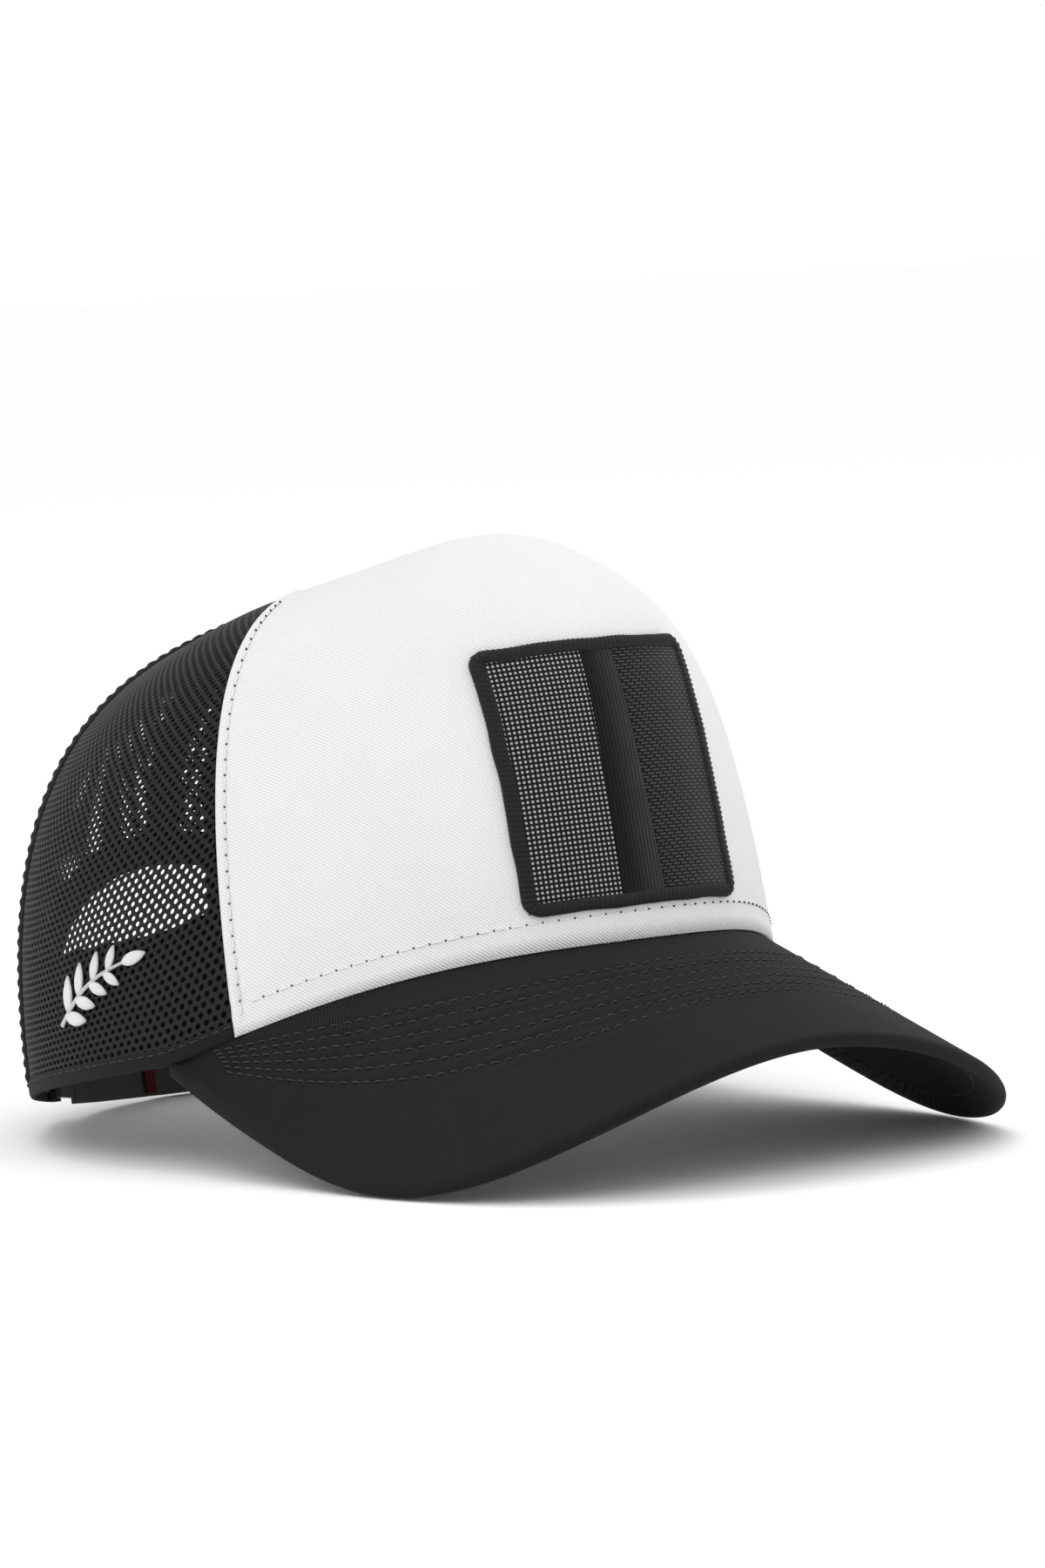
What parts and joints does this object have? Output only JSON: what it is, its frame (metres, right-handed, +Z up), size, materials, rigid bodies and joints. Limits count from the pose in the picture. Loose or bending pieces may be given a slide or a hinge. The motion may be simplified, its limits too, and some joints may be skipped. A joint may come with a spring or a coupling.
{
  "type": "trucker cap",
  "caption": "Trucker cap with a white cloth front, dark mesh sides and back, a curved visor, a sewn front patch and a plastic snap closure.",
  "frame": {"origin": "middle of the box at the level the visor and the back of the cap stand on", "axes": "+Z up, -Y the way the visor points, +X the wearer's left"},
  "size_m": [0.1784, 0.2642, 0.1401],
  "materials": {
    "white_twill": "cotton twill",
    "backing_cloth": "stiff woven backing",
    "black_mesh": "open knitted mesh",
    "black_twill": "fine cotton twill",
    "board": "moulded sheet",
    "band_cloth": "brushed cotton",
    "tape_cloth": "woven tape",
    "strap_plastic": "moulded satin plastic",
    "patch_cloth": "woven patch ground",
    "patch_light_thread": "light grey stitched fill",
    "patch_stripe_thread": "dark satin stitch",
    "patch_dark_thread": "black stitched fill",
    "border_thread": "overlocked black thread",
    "emblem_thread": "white embroidery thread",
    "red_tab": "dark red woven tape",
    "label_cloth": "white satin label",
    "rivet_metal": "plain stamped metal"
  },
  "bodies": {
    "root": {"front_panel": "white_twill", "front_backing": "backing_cloth", "mesh_side_left": "black_mesh", "mesh_side_right": "black_mesh", "mesh_rear_left": "black_mesh", "mesh_rear_right": "black_mesh", "opening_binding": "black_twill", "visor_top_cover": "black_twill", "visor_under_cover": "black_twill", "visor_board": "board", "sweatband": "band_cloth", "seam_tape_front_left": "tape_cloth", "seam_tape_front_right": "tape_cloth", "seam_tape_side_left": "tape_cloth", "seam_tape_side_right": "tape_cloth", "seam_tape_rear": "tape_cloth", "top_button": "black_twill", "button_rivet": "rivet_metal", "hole_strap_tab": "strap_plastic", "peg_strap_tab": "strap_plastic", "care_label": "label_cloth", "patch_base": "patch_cloth", "patch_border": "border_thread", "patch_light_field": "patch_light_thread", "patch_stripe": "patch_stripe_thread", "patch_dark_field": "patch_dark_thread", "side_emblem": "emblem_thread"},
    "hole_strap_body": {"hole_strap": "strap_plastic"},
    "peg_strap_body": {"peg_strap": "strap_plastic", "size_tab": "red_tab"}
  },
  "joints": [
    {"name": "hole_strap_bend", "type": "hinge", "parent": "root", "child": "hole_strap_body", "pos_m": [0.04772, 0.10534, 0.01263], "axis": [0, -0.1736, -0.9848], "range_deg": [0, 45], "stiffness_Nm_per_rad": 0.004},
    {"name": "peg_strap_bend", "type": "hinge", "parent": "root", "child": "peg_strap_body", "pos_m": [-0.04607, 0.10427, 0.01282], "axis": [0, -0.1736, -0.9848], "range_deg": [0, 30], "stiffness_Nm_per_rad": 0.004}
  ]
}
